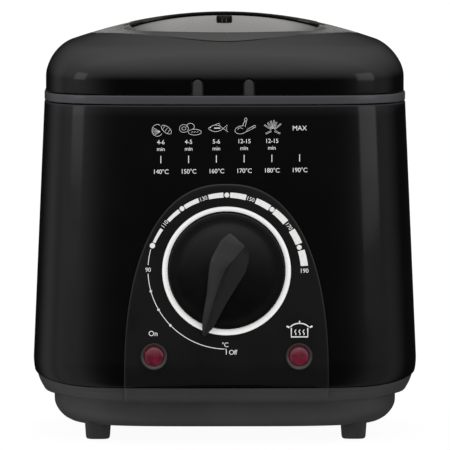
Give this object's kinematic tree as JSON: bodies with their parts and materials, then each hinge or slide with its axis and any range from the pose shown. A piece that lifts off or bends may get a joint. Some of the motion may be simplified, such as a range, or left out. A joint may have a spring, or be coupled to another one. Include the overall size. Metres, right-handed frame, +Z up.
{
  "type": "deep fryer",
  "caption": "Compact deep fryer with a rounded black housing, lift-off domed lid with viewing window, lift-out wire basket, front thermostat knob, indicator lamps and a grey base on feet.",
  "frame": {"origin": "under the middle of the whole object, on the plane the feet stand on", "axes": "+Z up, the control panel faces -Y, +X to the right when looking at the control panel"},
  "size_m": [0.19, 0.2186, 0.208],
  "materials": {
    "black_gloss": "gloss",
    "panel_black": "satin",
    "grey_plastic": "fine matt",
    "silver_plastic": "metallic paint on plastic",
    "chrome_trim": "bright",
    "steel": "plain",
    "element_steel": "darkened by heat",
    "nonstick": "non-stick coating",
    "aluminium": "plain",
    "clear_window": "clear",
    "red_lens": "clear red",
    "neon_glass": "clear",
    "rubber": "matt",
    "silicone": "matt",
    "felt": "felt",
    "carbon": "open foam",
    "ceramic": "plain",
    "lead_sleeve": "sleeve"
  },
  "bodies": {
    "base": {"housing": "black_gloss", "control_panel": "panel_black", "base_tray": "grey_plastic", "collar": "grey_plastic", "dial_bezel": "chrome_trim", "lamp_bezel_on": "chrome_trim", "lamp_bezel_ready": "chrome_trim", "housing_screw_1": "steel", "housing_screw_2": "steel", "housing_screw_3": "steel", "housing_screw_4": "steel", "thermostat_bracket": "steel", "bracket_screw_left": "steel", "bracket_screw_right": "steel", "tie_rod_left": "steel", "tie_rod_right": "steel", "tie_nut_left": "steel", "tie_nut_right": "steel", "heating_element": "element_steel", "oil_pot": "nonstick", "element_plate": "aluminium", "heat_shield": "aluminium", "neon_lamp_on": "neon_glass", "neon_lamp_ready": "neon_glass", "lamp_lens_on": "red_lens", "lamp_lens_ready": "red_lens", "foot_front_left": "rubber", "foot_front_right": "rubber", "foot_rear_left": "rubber", "foot_rear_right": "rubber", "cord_grommet": "rubber", "thermostat": "ceramic", "thermal_cutout": "ceramic", "terminal_block": "ceramic", "thermostat_bulb": "lead_sleeve", "lead_to_thermostat": "lead_sleeve", "lead_to_cutout": "lead_sleeve", "lead_to_element": "lead_sleeve"},
    "knob": {"knob": "black_gloss", "thermostat_shaft": "steel"},
    "basket": {"basket_mesh": "steel", "basket_rim": "steel", "handle_bracket": "steel", "basket_foot_left": "steel", "basket_foot_right": "steel"},
    "handle": {"handle_grip_upper": "black_gloss", "handle_grip_lower": "black_gloss", "handle_wire_left": "steel", "handle_wire_right": "steel"},
    "lid": {"lid_shell": "black_gloss", "lid_top_panel": "silver_plastic", "viewing_window": "clear_window", "lid_liner": "aluminium", "lid_seal": "silicone", "grease_filter": "felt", "carbon_filter": "carbon"},
    "filter_cover": {"filter_cover": "black_gloss", "filter_catch": "black_gloss"}
  },
  "joints": [
    {"name": "knob_turn", "type": "hinge", "parent": "base", "child": "knob", "pos_m": [0, -0.09394, 0.0844], "axis": [0, 0.9991, -0.0432], "range_deg": [-17.7, 252.3]},
    {"name": "basket_lift", "type": "slide", "parent": "base", "child": "basket", "axis": [0, 0, 1], "range_m": [0, 0.11]},
    {"name": "handle_lift", "type": "slide", "parent": "basket", "child": "handle", "axis": [0, 0, 1], "range_m": [0, 0.09]},
    {"name": "lid_lift", "type": "slide", "parent": "handle", "child": "lid", "axis": [0, 0, 1], "range_m": [0, 0.12]},
    {"name": "filter_cover_open", "type": "hinge", "parent": "lid", "child": "filter_cover", "pos_m": [0, 0.06865, 0.1998], "axis": [-1, 0, 0], "range_deg": [0, 75]}
  ]
}
